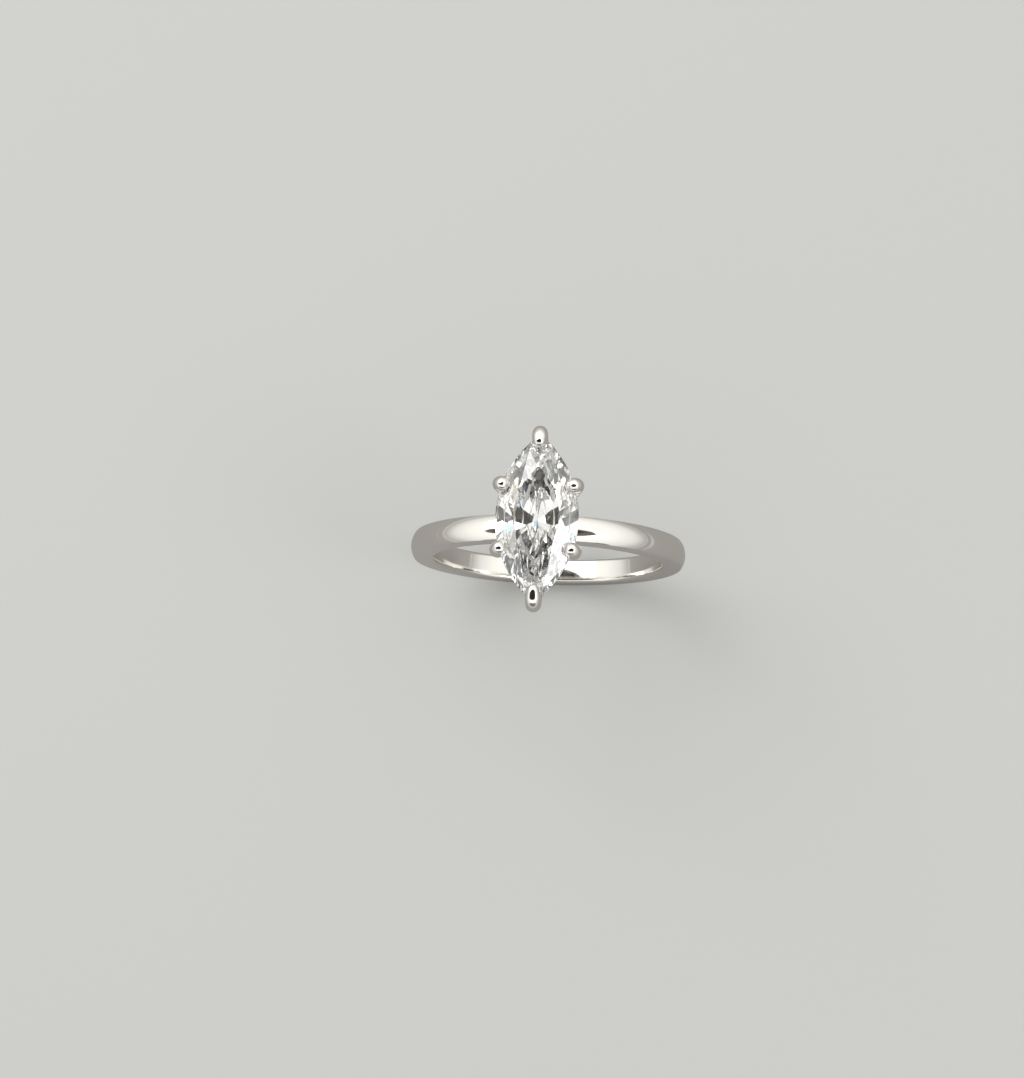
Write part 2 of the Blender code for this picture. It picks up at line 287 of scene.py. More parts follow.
def polished_metal(name, color, roughness, wave, scratch):
    material = bpy.data.materials.new(name)
    material.use_nodes = True
    nodes, links = material.node_tree.nodes, material.node_tree.links
    shader = nodes["Principled BSDF"]
    shader.inputs["Base Color"].default_value = (*color, 1)
    shader.inputs["Metallic"].default_value = 1.0
    place = nodes.new("ShaderNodeTexCoord").outputs["Object"]

    cloudy = nodes.new("ShaderNodeMapRange")
    cloudy.inputs["From Min"].default_value = CLOUD_START
    cloudy.inputs["From Max"].default_value = CLOUD_END
    cloudy.inputs["To Min"].default_value = roughness
    cloudy.inputs["To Max"].default_value = roughness * CLOUDIEST
    links.new(noise(nodes, links, place, CLOUDS, detail=3.0), cloudy.inputs["Value"])
    links.new(cloudy.outputs["Result"], shader.inputs["Roughness"])

    waves = noise(nodes, links, place, WAVES, detail=1.0)
    wavy = relief(nodes, links, waves, wave, WAVE_DEPTH)
    squeeze = nodes.new("ShaderNodeMapping")
    squeeze.inputs["Scale"].default_value = HAIRLINE_SQUEEZE
    links.new(place, squeeze.inputs["Vector"])
    lines = noise(nodes, links, squeeze.outputs["Vector"], HAIRLINES, detail=4.0)
    scratched = relief(nodes, links, lines, scratch, HAIRLINE_DEPTH)
    links.new(wavy.outputs["Normal"], scratched.inputs["Normal"])
    links.new(scratched.outputs["Normal"], shader.inputs["Normal"])
    print(f"{name}: roughness {roughness:.2f} to {roughness * CLOUDIEST:.2f}")
    return material


band_metal = polished_metal(
    "worn_polished_white_gold", (0.86, 0.84, 0.80), roughness=0.05, wave=0.35, scratch=0.3
)
head_metal = polished_metal(
    "bright_white_gold", (0.87, 0.85, 0.81), roughness=0.04, wave=0.25, scratch=0.15
)

# %% [markdown]
# ## The marquise outline
#
# A marquise is two equal arcs that meet in two points. The stone, both rails and the peg's plate all
# have that outline, so it is a small class: it gives a point and the outward direction at any share of
# the way to a tip, and the outline that runs beside it at an even distance.

# %% The marquise outline


class Marquise:
    """An outline of two equal arcs that meet in points at +Y and -Y."""

    def __init__(self, length, width):
        self.half_length, self.half_width = length / 2, width / 2
        self.radius = (self.half_length**2 + self.half_width**2) / (2 * self.half_width)
        self.setback = self.radius - self.half_width
        self.sweep = math.asin(self.half_length / self.radius)

    def at(self, share, side=1):
        """The point at a share of the way from the widest place to a tip, on the +X or -X arc."""
        angle = share * self.sweep
        across = self.radius * math.cos(angle) - self.setback
        return Vector((side * across, self.radius * math.sin(angle), 0))

    def normal(self, share, side=1):
        """The outward direction there. At a tip it lies along Y."""
        if abs(share) == 1:
            return Vector((0, share, 0))
        angle = share * self.sweep
        return Vector((side * math.cos(angle), math.sin(angle), 0))

    def share_at_y(self, y):
        return math.asin(y / self.radius) / self.sweep

    def offset(self, amount):
        """The outline that runs the same distance outside this one all round."""
        radius = self.radius + amount
        half_length = math.sqrt(radius**2 - self.setback**2)
        return Marquise(2 * half_length, 2 * (radius - self.setback))


stone_outline = Marquise(STONE_LENGTH, STONE_WIDTH)
print(f"each side of the stone is an arc of {stone_outline.radius:.2f} mm radius")

# %% [markdown]
# ## The facets of the crown
#
# A cutter doesn't model a stone, but grinds flats on it, and each flat lies where the cutter's angles
# put it. So the stone is a list of planes. The crown has a table, kite facets between it and the
# girdle, stars between the kites' heads, and two upper girdle facets under each star.

# %% Crown facets
TABLE_SHARE = 0.58
STAR_SHARE = 0.55


def plane_through(first, second, third):
    """(point, normal) of the plane through three points, with its normal away from the stone's middle."""
    normal = (second - first).cross(third - first).normalized()
    return first, normal if normal.dot(first) > 0 else -normal


def along(outline, share, side):
    """The level direction of the outline's edge at a place on it."""
    return outline.normal(share, side).cross(UP)


def crown_planes(ends, side, top, table):
    """Two kite facets, the star between them and the two upper girdle facets under it."""
    feet = [level(stone_outline.at(share, side), top) for share in ends]
    heads = [level(TABLE_SHARE * foot, table.z) for foot in feet]
    kites = [
        plane_through(foot, head, foot + along(stone_outline, share, side))
        for foot, head, share in zip(feet, heads, ends)
    ]
    on_ridge, ridge = intersect_plane_plane(*kites[0], *kites[1])
    star_height = table.z - STAR_SHARE * CROWN_HEIGHT
    star_tip = on_ridge + ridge * (star_height - on_ridge.z) / ridge.z
    middle = level(stone_outline.at(sum(ends) / 2, side), top)
    star = plane_through(heads[0], heads[1], star_tip)
    return kites + [star] + [plane_through(foot, middle, star_tip) for foot in feet]


print(f"the table is {TABLE_SHARE:.0%} of the stone's width")

# %% [markdown]
# ## The facets of the pavilion
#
# Below the girdle, mains run down to the culet, and pairs of lower girdle facets fill in between them.
# At the stone's two points there is no main: the lower girdle facets of both sides meet in a keel.
# That keel is what breaks up the ends of a marquise into splinters of light.
#
# No hand grinds quite true, so each slanted facet is tilted by up to half a degree. The numbers come
# from a seeded generator, so the same stone is cut each time.

# %% Pavilion facets
LOWER_HALF_SHARE = 0.78
CULET_FLAT = 0.02
GIRDLE_FACETS = 40
MAIN_PLACES = (0.0, 0.5, 1.0)
STEEP = 0.1
NEARLY_LEVEL = 1 - 1e-6
HAND_ERROR = math.radians(0.5)
CUTTERS_HAND = 11


def pavilion_planes(ends, side, bottom, culet):
    """The mains, which run to the culet, and the two lower girdle facets between them."""
    feet = [level(stone_outline.at(share, side), bottom) for share in ends]
    mains = [
        plane_through(foot, culet, foot + along(stone_outline, share, side))
        for foot, share in zip(feet, ends)
        if abs(share) < 1
    ]
    keel = (culet, Vector((side, 0, 0)))
    neighbour = mains[1] if len(mains) == 2 else keel
    ridge = intersect_plane_plane(*mains[0], *neighbour)[1]
    meeting = culet + ridge / ridge.z * PAVILION_DEPTH * (1 - LOWER_HALF_SHARE)
    middle = level(stone_outline.at(sum(ends) / 2, side), bottom)
    return mains + [plane_through(foot, middle, meeting) for foot in feet]


def off_true(normal, hand):
    """Tilts a facet by a fraction of a degree. The table, the culet and the girdle stay true."""
    if not STEEP <= abs(normal.z) <= NEARLY_LEVEL:
        return normal
    hinge = Matrix.Rotation(hand.uniform(0, math.tau), 3, normal) @ normal.orthogonal()
    return Matrix.Rotation(hand.uniform(-HAND_ERROR, HAND_ERROR), 3, hinge) @ normal


def facet_planes():
    """Every flat of the marquise brilliant as (point, outward normal), about the middle of its girdle."""
    top, bottom = GIRDLE_HEIGHT / 2, -GIRDLE_HEIGHT / 2
    table = Vector((0, 0, top + CROWN_HEIGHT))
    culet = Vector((0, 0, bottom - PAVILION_DEPTH))
    planes = [(table, UP), (culet + UP * CULET_FLAT, -UP)]
    for side in (1, -1):
        for i in range(GIRDLE_FACETS):
            share = (2 * i + 1) / GIRDLE_FACETS - 1
            planes.append((stone_outline.at(share, side), stone_outline.normal(share, side)))
        for half in (1, -1):
            for near, far in zip(MAIN_PLACES, MAIN_PLACES[1:]):
                planes += crown_planes([half * near, half * far], side, top, table)
                planes += pavilion_planes([half * near, half * far], side, bottom, culet)
    hand = random.Random(CUTTERS_HAND)
    return [(point, off_true(normal, hand)) for point, normal in planes]


facets = facet_planes()
print(f"{len(facets)} flats, {len(facets) - 2 * GIRDLE_FACETS} of them above and below the girdle")

# %% [markdown]
# ## Grinding
#
# The stone starts as a block. bisect_plane cuts away what lies beyond each plane, and holes_fill
# closes the cut with one flat face, so every facet is truly flat and every edge crisp. Planes that
# meet almost in one point leave specks of edges, and merging close points cleans those up.
#
# A copy of the stone, larger by a hair, later cuts the bearings in the claws.

# %% Grind the stone
MERGED_UNDER = 0.002
BEARING_GAP = 0.008


def slice_off(bm, point, normal):
    """Removes what lies beyond a plane and closes the cut with one flat face."""
    everything = bm.verts[:] + bm.edges[:] + bm.faces[:]
    cut = bmesh.ops.bisect_plane(
        bm, geom=everything, dist=ON_PLANE, plane_co=point, plane_no=normal, clear_outer=True
    )
    edges = [part for part in cut["geom_cut"] if isinstance(part, bmesh.types.BMEdge)]
    if edges:
        bmesh.ops.holes_fill(bm, edges=edges, sides=0)


def ground_stone():
    """The stone about the middle of its girdle."""
    bm = bmesh.new()
    bmesh.ops.create_cube(bm, size=2 * STONE_LENGTH)
    for point, normal in facets:
        slice_off(bm, point, normal)
    bmesh.ops.remove_doubles(bm, verts=bm.verts, dist=MERGED_UNDER)
    face_outwards(bm)
    return bm


def stone_cutter():
    bm = ground_stone()
    half_size = Vector((STONE_WIDTH, STONE_LENGTH, 2 * CROWN_HEIGHT)) / 2
    bmesh.ops.scale(bm, vec=[1 + BEARING_GAP / half for half in half_size], verts=bm.verts)
    bmesh.ops.triangulate(bm, faces=bm.faces)
    bmesh.ops.translate(bm, vec=stone_middle, verts=bm.verts)
    return bm


stone = ground_stone()
bmesh.ops.translate(stone, vec=stone_middle, verts=stone.verts)
print(f"ground to {len(stone.faces)} faces")

# %% [markdown]
# ## Diamond
#
# To light, diamond is like clear glass with a very high refractive index, 2.417. Light that enters
# through the crown is thrown back and forth by the pavilion and comes out as a crush of bright and
# dark splinters, so the sparkle isn't painted: the facets make it. Only the girdle is different. It is
# ground and not polished, so it looks frosted. The shader finds it by its upright faces, and a fine
# grain varies it.

# %% Diamond
DIAMOND_INDEX = 2.417
GIRDLE_GRAIN = 9000.0
GIRDLE_SMOOTHEST, GIRDLE_ROUGHEST = 0.2, 0.5


def diamond_material():
    material = bpy.data.materials.new("diamond")
    material.use_nodes = True
    nodes, links = material.node_tree.nodes, material.node_tree.links
    shader = nodes["Principled BSDF"]
    shader.inputs["Base Color"].default_value = (1, 1, 1, 1)
    shader.inputs["IOR"].default_value = DIAMOND_INDEX
    shader.inputs["Transmission Weight"].default_value = 1.0
    split = nodes.new("ShaderNodeSeparateXYZ")
    links.new(nodes.new("ShaderNodeNewGeometry").outputs["True Normal"], split.inputs["Vector"])
    slope = arithmetic(nodes, links, "ABSOLUTE", split.outputs["Z"])
    on_girdle = arithmetic(nodes, links, "LESS_THAN", slope, value=STEEP)
    place = nodes.new("ShaderNodeTexCoord").outputs["Object"]
    ground = nodes.new("ShaderNodeMapRange")
    ground.inputs["To Min"].default_value = GIRDLE_SMOOTHEST
    ground.inputs["To Max"].default_value = GIRDLE_ROUGHEST
    links.new(noise(nodes, links, place, GIRDLE_GRAIN, detail=2.0), ground.inputs["Value"])
    frosted = arithmetic(nodes, links, "MULTIPLY", on_girdle, ground.outputs["Result"])
    links.new(frosted, shader.inputs["Roughness"])
    return material


piece(stone, "cut_diamond", diamond_material(), "diamond", "marquise_diamond", smooth_under=0)

# %% [markdown]
# ## The band
#
# The band's section is a D: a low dome outside, flat sides, and inner edges rounded for comfort. The
# dome is one vertex spun round the middle of its arc, which gives a true curve. The section is then
# spun a full turn about the finger. 288 steps keep the reflections smooth: a mirror shows every facet
# of a coarse mesh.

# %% Spin the band
BORE_RADIUS = 8.25
DOME_RADIUS = 1.5
DOME_STEPS = 36
INNER_ROUND, INNER_ROUND_STEPS = 0.25, 8
OUTER_ROUND, OUTER_ROUND_STEPS = 0.07, 3
BAND_STEPS = 288


def band():
    half = SHANK_WIDTH / 2
    dome_middle = SHANK_RADIUS - DOME_RADIUS
    dome_half = math.asin(half / DOME_RADIUS)
    bm = bmesh.new()
    edge = bm.verts.new((dome_middle + DOME_RADIUS * math.cos(dome_half), -half, 0))
    dome = bmesh.ops.spin(
        bm, geom=[edge], cent=(dome_middle, 0, 0), axis=UP, angle=2 * dome_half, steps=DOME_STEPS
    )
    far_edge = next(v for v in dome["geom_last"] if isinstance(v, bmesh.types.BMVert))
    inner = [bm.verts.new((BORE_RADIUS, half, 0)), bm.verts.new((BORE_RADIUS, -half, 0))]
    for pair in ((far_edge, inner[0]), inner, (inner[1], edge)):
        bm.edges.new(pair)
    bevelled(bm, inner, INNER_ROUND, INNER_ROUND_STEPS, affect="VERTICES")
    bevelled(bm, [edge, far_edge], OUTER_ROUND, OUTER_ROUND_STEPS, affect="VERTICES")
    bmesh.ops.spin(
        bm,
        geom=bm.verts[:] + bm.edges[:],
        cent=(0, 0, 0),
        axis=(0, 1, 0),
        angle=math.tau,
        steps=BAND_STEPS,
        use_merge=True,
    )
    face_outwards(bm)
    return bm


plain_band = band()
print(f"band of {len(plain_band.faces)} faces")

# %% [markdown]
# ## A seat for the head
#
# A round band gives a head nothing to stand on. A jeweller files a small flat on its top and drills a
# hole through it for the head's peg. The file is a block here and the drill a cylinder, and both are
# taken away from the band.

# %% File the seat and drill the hole
PEG_RADIUS = 0.54
DRILL_PAST = 1.0
ROUND_SIDES = 96


def upright_cylinder(radius, bottom, top):
    bm = bmesh.new()
    bmesh.ops.create_cone(
        bm, cap_ends=True, segments=ROUND_SIDES, radius1=radius, radius2=radius, depth=top - bottom
    )
    bmesh.ops.translate(bm, vec=(0, 0, (bottom + top) / 2), verts=bm.verts)
    return bm


def file_block():
    bm = bmesh.new()
    bmesh.ops.create_cube(bm, size=2 * SHANK_WIDTH)
    bmesh.ops.translate(bm, vec=(0, 0, HEAD_FOOT_Z - SOLDER_GAP + SHANK_WIDTH), verts=bm.verts)
    return bm


drill = upright_cylinder(PEG_RADIUS + SOLDER_GAP, BORE_RADIUS - DRILL_PAST, SHANK_RADIUS + DRILL_PAST)
filed_band = combined(plain_band, file_block(), drill)
piece(filed_band, "polished_band", band_metal, "polished_shank", "shank")

# %% [markdown]
# ## The gallery rails
#
# Two rails hold the claws together, one round the foot of the head and one under the stone. Each is a
# square wire with rounded edges, bent to the marquise and mitred at the points. Half a rail is spun
# round its arc a little too far, cut off at the middle plane and mirrored, so the mitre comes by
# itself.

# %% Bend the rails
RAIL_THICKNESS = 0.6
RAIL_HEIGHT = 0.7
RAIL_ROUND, RAIL_ROUND_STEPS = 0.2, 6
RAIL_STEPS = 48
RAIL_PAST = 1.25


def rail(outline, height):
    bm = bmesh.new()
    bmesh.ops.create_grid(bm, x_segments=1, y_segments=1, size=0.5)
    bmesh.ops.scale(bm, vec=(RAIL_THICKNESS, RAIL_HEIGHT, 1), verts=bm.verts)
    bevelled(bm, bm.verts[:], RAIL_ROUND, RAIL_ROUND_STEPS, affect="VERTICES")
    bmesh.ops.delete(bm, geom=bm.faces[:], context="FACES_ONLY")
    bmesh.ops.rotate(bm, verts=bm.verts, matrix=Matrix.Rotation(math.pi / 2, 3, "X"))
    bmesh.ops.translate(bm, vec=(outline.half_width, 0, height), verts=bm.verts)
    past = RAIL_PAST * outline.sweep
    middle = (-outline.setback, 0, height)
    bmesh.ops.rotate(bm, verts=bm.verts, cent=middle, matrix=Matrix.Rotation(-past, 3, "Z"))
    section = bm.verts[:] + bm.edges[:]
    bmesh.ops.spin(bm, geom=section, cent=middle, axis=UP, angle=2 * past, steps=RAIL_STEPS)
    bmesh.ops.bisect_plane(
        bm,
        geom=bm.verts[:] + bm.edges[:] + bm.faces[:],
        dist=ON_PLANE,
        plane_co=(0, 0, 0),
        plane_no=(1, 0, 0),
        clear_inner=True,
    )
    half_rail = bm.verts[:] + bm.edges[:] + bm.faces[:]
    bmesh.ops.mirror(bm, geom=half_rail, merge_dist=SAME_POINT, axis="X")
    bmesh.ops.remove_doubles(bm, verts=bm.verts, dist=SAME_POINT)
    face_outwards(bm)
    return bm


def middle_line(low, high):
    """The middle line of a rail, from the box of its CAD node."""
    return Marquise(high.y - low.y, high.x - low.x).offset(-RAIL_THICKNESS / 2)


lower_outline = middle_line(lower_low, lower_high)
for name, low, high in (("lower", lower_low, lower_high), ("upper", upper_low, upper_high)):
    bent = rail(middle_line(low, high), (low.z + high.z) / 2)
    piece(bent, f"soldered_{name}_rail", head_metal, "polished_head", f"{name}_gallery_rail")

# %% [markdown]
# ## Where a claw touches
#
# A claw stands on the lower rail, leans against the stone's edge and presses on its crown. The foot is
# found on a line beside the rail, at the same share of the way to a tip as the place on the stone. The
# crown is a list of flats, and its surface at any place is the lowest of them there.

# %% Places on the stone and the rail
FOOT_OUTSIDE_RAIL = 0.45


def foot_under(contact, outward):
    """The middle of the foot of the claw that holds the stone's edge at a point."""
    share, side = math.copysign(1, contact.y), 1
    if outward.x:
        share, side = stone_outline.share_at_y(contact.y), math.copysign(1, contact.x)
    return level(lower_outline.offset(FOOT_OUTSIDE_RAIL).at(share, side), HEAD_FOOT_Z)


def crown_rise(place):
    """How far the crown's surface stands above the middle of the girdle at a place inside the outline."""
    return min(
        (point - level(place, 0)).dot(normal) / normal.z for point, normal in facets if normal.z > STEEP
    )


print(f"the crown rises {crown_rise(Vector((0, 0, 0))) - GIRDLE_HEIGHT / 2:.2f} mm over the girdle")

# %% [markdown]
# ## The line of a claw
#
# A claw is a round wire that leans out from the foot of the head to the stone's edge, bends over it,
# and lies down on the crown with a rounded, slightly thinner tip. Its middle line is worked out from
# the stone: the bend starts just under the girdle, and it ends when the wire has the crown's own
# slope. The bend's radius is a little more than the wire's own, or the wire would fold into itself.

# %% The line of a claw
CLAW_RADIUS = 0.5
TIP_RADIUS = 0.38
BEND_RADIUS = 0.54
SHOULDER_DROP = 0.2
BEND_STEPS = 14
TIP_STEPS = 12
TIP_BLUNTNESS = 4
TIP_END = 0.985


def claw_line(contact, outward, reach, overhang):
    """(point, radius) along a claw from below its foot to its tip, and the axis that it bends about."""
    foot = foot_under(contact, outward)
    shoulder = level(contact + outward * overhang, GIRDLE_Z - SHOULDER_DROP)
    shaft = (shoulder - foot).normalized()
    rise = crown_rise(contact - outward * reach) - GIRDLE_HEIGHT / 2
    slope = (UP * rise - outward * reach).normalized()
    hinge = UP.cross(outward)
    turn = shaft.angle(slope)
    centre = shoulder + Matrix.Rotation(-math.pi / 2, 3, hinge) @ shaft * BEND_RADIUS
    line = [(foot - shaft, CLAW_RADIUS), (foot, CLAW_RADIUS), (shoulder, CLAW_RADIUS)]
    for i in range(1, BEND_STEPS + 1):
        around = Matrix.Rotation(-turn * i / BEND_STEPS, 3, hinge)
        line.append((centre + around @ (shoulder - centre), CLAW_RADIUS))
    start = line[-1][0]
    length = reach + (start - contact).dot(outward)
    for i in range(1, TIP_STEPS + 1):
        share = i / TIP_STEPS
        thickness = CLAW_RADIUS + (TIP_RADIUS - CLAW_RADIUS) * share
        rounded = math.sqrt(1 - (TIP_END * share) ** TIP_BLUNTNESS)
        line.append((start + slope * length * share, thickness * rounded))
    return line, hinge


print(f"claw wire {2 * CLAW_RADIUS:.1f} mm thick")

# %% [markdown]
# ## Bending the wire
#
# A circle is extruded from station to station along that line and placed square to it each time. It
# is like drawing wire round a former. The foot is then cut off level and its edge broken with a file.
# Last, the stone, larger by a hair, cuts the bearing that its girdle sits in.

# %% Bend the claws
WIRE_SIDES = 32
FOOT_ROUND, FOOT_ROUND_STEPS = 0.14, 5
SIDE_CLAW_Y = 2.15
SIDE_CLAW = {"reach": 0.5, "overhang": 0.08}


def bent_wire(line, hinge):
    bm = bmesh.new()
    ring = bmesh.ops.create_circle(bm, radius=1, segments=WIRE_SIDES)["verts"]
    placed = Matrix.Identity(4)
    for i, (point, radius) in enumerate(line):
        before, after = line[max(i - 1, 0)][0], line[min(i + 1, len(line) - 1)][0]
        ahead = (after - before).normalized()
        axes = Matrix((hinge, ahead.cross(hinge), ahead)).transposed().to_4x4()
        target = Matrix.Translation(point) @ axes @ Matrix.Scale(radius, 4)
        if i:
            edges = [e for e in bm.edges if all(v in ring for v in e.verts)]
            made = bmesh.ops.extrude_edge_only(bm, edges=edges)["geom"]
            ring = [part for part in made if isinstance(part, bmesh.types.BMVert)]
        bmesh.ops.transform(bm, matrix=target @ placed.inverted(), verts=ring)
        placed = target
    bmesh.ops.holes_fill(bm, edges=[e for e in bm.edges if e.is_boundary], sides=0)
    face_outwards(bm)
    return bm


def bend_claw(name, share, side, reach, overhang):
    contact, outward = stone_outline.at(share, side), stone_outline.normal(share, side)
    wire = bent_wire(*claw_line(contact, outward, reach, overhang))
    slice_off(wire, Vector((0, 0, HEAD_FOOT_Z)), -UP)
    foot = [e for e in wire.edges if all(v.co.z < HEAD_FOOT_Z + SAME_POINT for v in e.verts)]
    bevelled(wire, foot, FOOT_ROUND, FOOT_ROUND_STEPS)
    piece(combined(wire, stone_cutter()), f"bent_{name}", head_metal, "polished_head", name)


side_share = stone_outline.share_at_y(SIDE_CLAW_Y)
bend_claw("north_claw", 1, 1, reach=1.05, overhang=-0.04)
bend_claw("south_claw", -1, 1, reach=1.15, overhang=0.04)
for end_name, end in (("north", 1), ("south", -1)):
    for side_name, side in (("east", 1), ("west", -1)):
        bend_claw(f"{end_name}_{side_name}_claw", end * side_share, side, **SIDE_CLAW)

# %% [markdown]
# ## The peg and its plate
#
# A thin plate closes the foot of the head, and a peg under it goes through the hole in the band. Its
# end is flush with the bore, where it shows as a small round spot inside the ring. The plate is two
# spun arcs that are filled and raised. The plate's upper edge and the peg's end are broken with a
# file, so they catch the light.

# %% Turn the peg
PLATE_THICKNESS = 0.4
BROKEN_EDGE, BROKEN_EDGE_STEPS = 0.06, 4
ARC_STEPS = 32


def plate(outline):
    bm = bmesh.new()
    for side in (1, -1):
        tip = bm.verts.new(level(outline.at(-side, side), HEAD_FOOT_Z))
        middle = (-side * outline.setback, 0, HEAD_FOOT_Z)
        bmesh.ops.spin(
            bm, geom=[tip], cent=middle, axis=UP, angle=2 * outline.sweep, steps=ARC_STEPS
        )
    bmesh.ops.remove_doubles(bm, verts=bm.verts, dist=SAME_POINT)
    bmesh.ops.contextual_create(bm, geom=bm.edges[:])
    raised = bmesh.ops.extrude_face_region(bm, geom=bm.faces[:])["geom"]
    top = [part for part in raised if isinstance(part, bmesh.types.BMVert)]
    bmesh.ops.translate(bm, vec=(0, 0, PLATE_THICKNESS), verts=top)
    bevelled(bm, [e for e in bm.edges if all(v in top for v in e.verts)], BROKEN_EDGE, BROKEN_EDGE_STEPS)
    face_outwards(bm)
    return bm


def peg():
    bm = upright_cylinder(PEG_RADIUS, peg_low.z, HEAD_FOOT_Z + PLATE_THICKNESS / 2)
    end = [e for e in bm.edges if all(v.co.z < peg_low.z + SAME_POINT for v in e.verts)]
    bevelled(bm, end, BROKEN_EDGE, BROKEN_EDGE_STEPS)
    return bm


plate_outline = lower_outline.offset(-RAIL_THICKNESS / 2 - SOLDER_GAP)
pegged_plate = combined(plate(plate_outline), peg(), operation="UNION")
piece(pegged_plate, "turned_peg_plate", head_metal, "polished_head", "peg_plate")

# %% [markdown]
# ## Staged sheets
#
# The rest of the lesson stages the ring and adds nothing to it. A floor, a collar and a few cards are
# flat sheets of plain matt materials. Some of them only paint reflections in the ring and are there for
# nothing else, so they are hidden from the camera and from the floor.

# %% Helpers for sheets
MATT = 0.9


def plain_material(name, color, glow=(0, 0, 0)):
    made = bpy.data.materials.new(name)
    made.use_nodes = True
    shader = made.node_tree.nodes["Principled BSDF"]
    shader.inputs["Base Color"].default_value = (*color, 1)
    shader.inputs["Roughness"].default_value = MATT
    shader.inputs["Emission Color"].default_value = (*glow, 1)
    shader.inputs["Emission Strength"].default_value = 1.0
    return made


def mixed_in(material, shader, share):
    """Mixes a second shader into a plain material, by a share between 0 and 1."""
    nodes, links = material.node_tree.nodes, material.node_tree.links
    either = nodes.new("ShaderNodeMixShader")
    links.new(share, either.inputs["Fac"])
    links.new(nodes["Principled BSDF"].outputs["BSDF"], either.inputs[1])
    links.new(shader.outputs["BSDF"], either.inputs[2])
    links.new(either.outputs["Shader"], nodes["Material Output"].inputs["Surface"])


def stage_sheet(name, bm, material):
    """Turns a flat mesh into a staged object, which isn't part of the ring."""
    bmesh.ops.scale(bm, vec=(MM, MM, MM), verts=bm.verts)
    made = link(name, mesh_of(bm, name))
    made.data.materials.append(material)
    return made


def only_reflected(made):
    """Hides a staged sheet from the camera, and keeps it from lighting or shading the floor."""
    made.visible_camera = False
    made.visible_diffuse = False
    made.visible_shadow = False


print("sheets ready")

# %% [markdown]
# ## The floor
#
# Polished metal on a pale floor disappears, because it mirrors the floor. A studio puts dark fabric
# round such a piece, just out of view, to draw its edges. Here the floor paints that dark reflection
# instead: the camera sees plain pale paper, and only reflections see a dark grey patch near the ring.

# %% Lay the floor
PAPER = (0.40, 0.40, 0.395)
# The grey of a painted dark reflection, which only reflections see.
DARK_REFLECTION_GREY = (0.235, 0.225, 0.22)
FLOOR_HALF = 1000.0
DARK_REFLECTION_RADIUS = 90.0
DARK_REFLECTION_END_RADIUS = 125.0


def floor_paper_with_painted_reflection():
    paper = plain_material("paper", PAPER)
    nodes, links = paper.node_tree.nodes, paper.node_tree.links
    away = nodes.new("ShaderNodeVectorMath")
    away.operation = "LENGTH"
    links.new(nodes.new("ShaderNodeTexCoord").outputs["Object"], away.inputs[0])
    near = nodes.new("ShaderNodeMapRange")
    near.inputs["From Min"].default_value = DARK_REFLECTION_RADIUS * MM
    near.inputs["From Max"].default_value = DARK_REFLECTION_END_RADIUS * MM
    near.inputs["To Min"].default_value = 1.0
    near.inputs["To Max"].default_value = 0.0
    links.new(away.outputs["Value"], near.inputs["Value"])
    # Painted dark reflection: only reflected rays see the dark grey near the ring, and the camera sees the
    # paper.
    reflected = nodes.new("ShaderNodeLightPath").outputs["Is Glossy Ray"]
    share = arithmetic(nodes, links, "MULTIPLY", near.outputs["Result"], reflected)
    dark = nodes.new("ShaderNodeBsdfPrincipled")
    dark.inputs["Base Color"].default_value = (*DARK_REFLECTION_GREY, 1)
    dark.inputs["Roughness"].default_value = MATT
    mixed_in(paper, dark, share)
    return paper


floor_z = cad_box[0][2] / MM
sheet = bmesh.new()
bmesh.ops.create_grid(sheet, x_segments=1, y_segments=1, size=FLOOR_HALF)
bmesh.ops.translate(sheet, vec=(0, 0, floor_z), verts=sheet.verts)
stage_sheet("floor", sheet, floor_paper_with_painted_reflection())
print(f"floor at z = {floor_z:.2f} mm")

# %% [markdown]
# ## A collar of painted dark reflection
#
# A dark grey collar, of the same grey as the floor's painted reflection, stands round the ring at the
# height where a ring sits in its box. It paints a dark reflection in the head and the shoulders of the
# band. It starts as a filled circle, whose middle is inset and taken out. It has one side, which faces
# up, and only the metal and the stone show it.

# %% Stand the collar round the ring
COLLAR_Z = 6.0
COLLAR_RADIUS = 25.0
COLLAR_HOLE = 12.0
COLLAR_SIDES = 48


def one_sided_dark_reflection():
    dark_reflection_sheet = plain_material("dark_reflection_sheet", DARK_REFLECTION_GREY)
    nodes = dark_reflection_sheet.node_tree.nodes
    from_below = nodes.new("ShaderNodeNewGeometry").outputs["Backfacing"]
    mixed_in(dark_reflection_sheet, nodes.new("ShaderNodeBsdfTransparent"), from_below)
    return dark_reflection_sheet


collar = bmesh.new()
bmesh.ops.create_circle(collar, cap_ends=True, radius=COLLAR_RADIUS, segments=COLLAR_SIDES)
middle = collar.faces[:]
bmesh.ops.inset_region(
    collar, faces=middle, thickness=COLLAR_RADIUS - COLLAR_HOLE, use_boundary=True, use_even_offset=True
)
bmesh.ops.delete(collar, geom=middle, context="FACES")
bmesh.ops.translate(collar, vec=(0, 0, COLLAR_Z), verts=collar.verts)
# The collar paints a dark reflection: only the metal and the stone see it.
only_reflected(stage_sheet("dark_reflection_collar", collar, one_sided_dark_reflection()))
print(f"collar at z = {COLLAR_Z:.2f} mm, {COLLAR_HOLE:.0f} to {COLLAR_RADIUS:.0f} mm from the middle")

# %% [markdown]
# ## What the ring reflects
#
# Whoever bends over a ring with a phone stands between it and the light, and the metal shows it: the
# phone is the dark wedge on the band beside the stone, the slit in each claw and the dark facets of
# the diamond. So three plain cards stand round the lens, in the places of a phone, of hands and of a
# sitter's body. Only the metal and the stone show them.

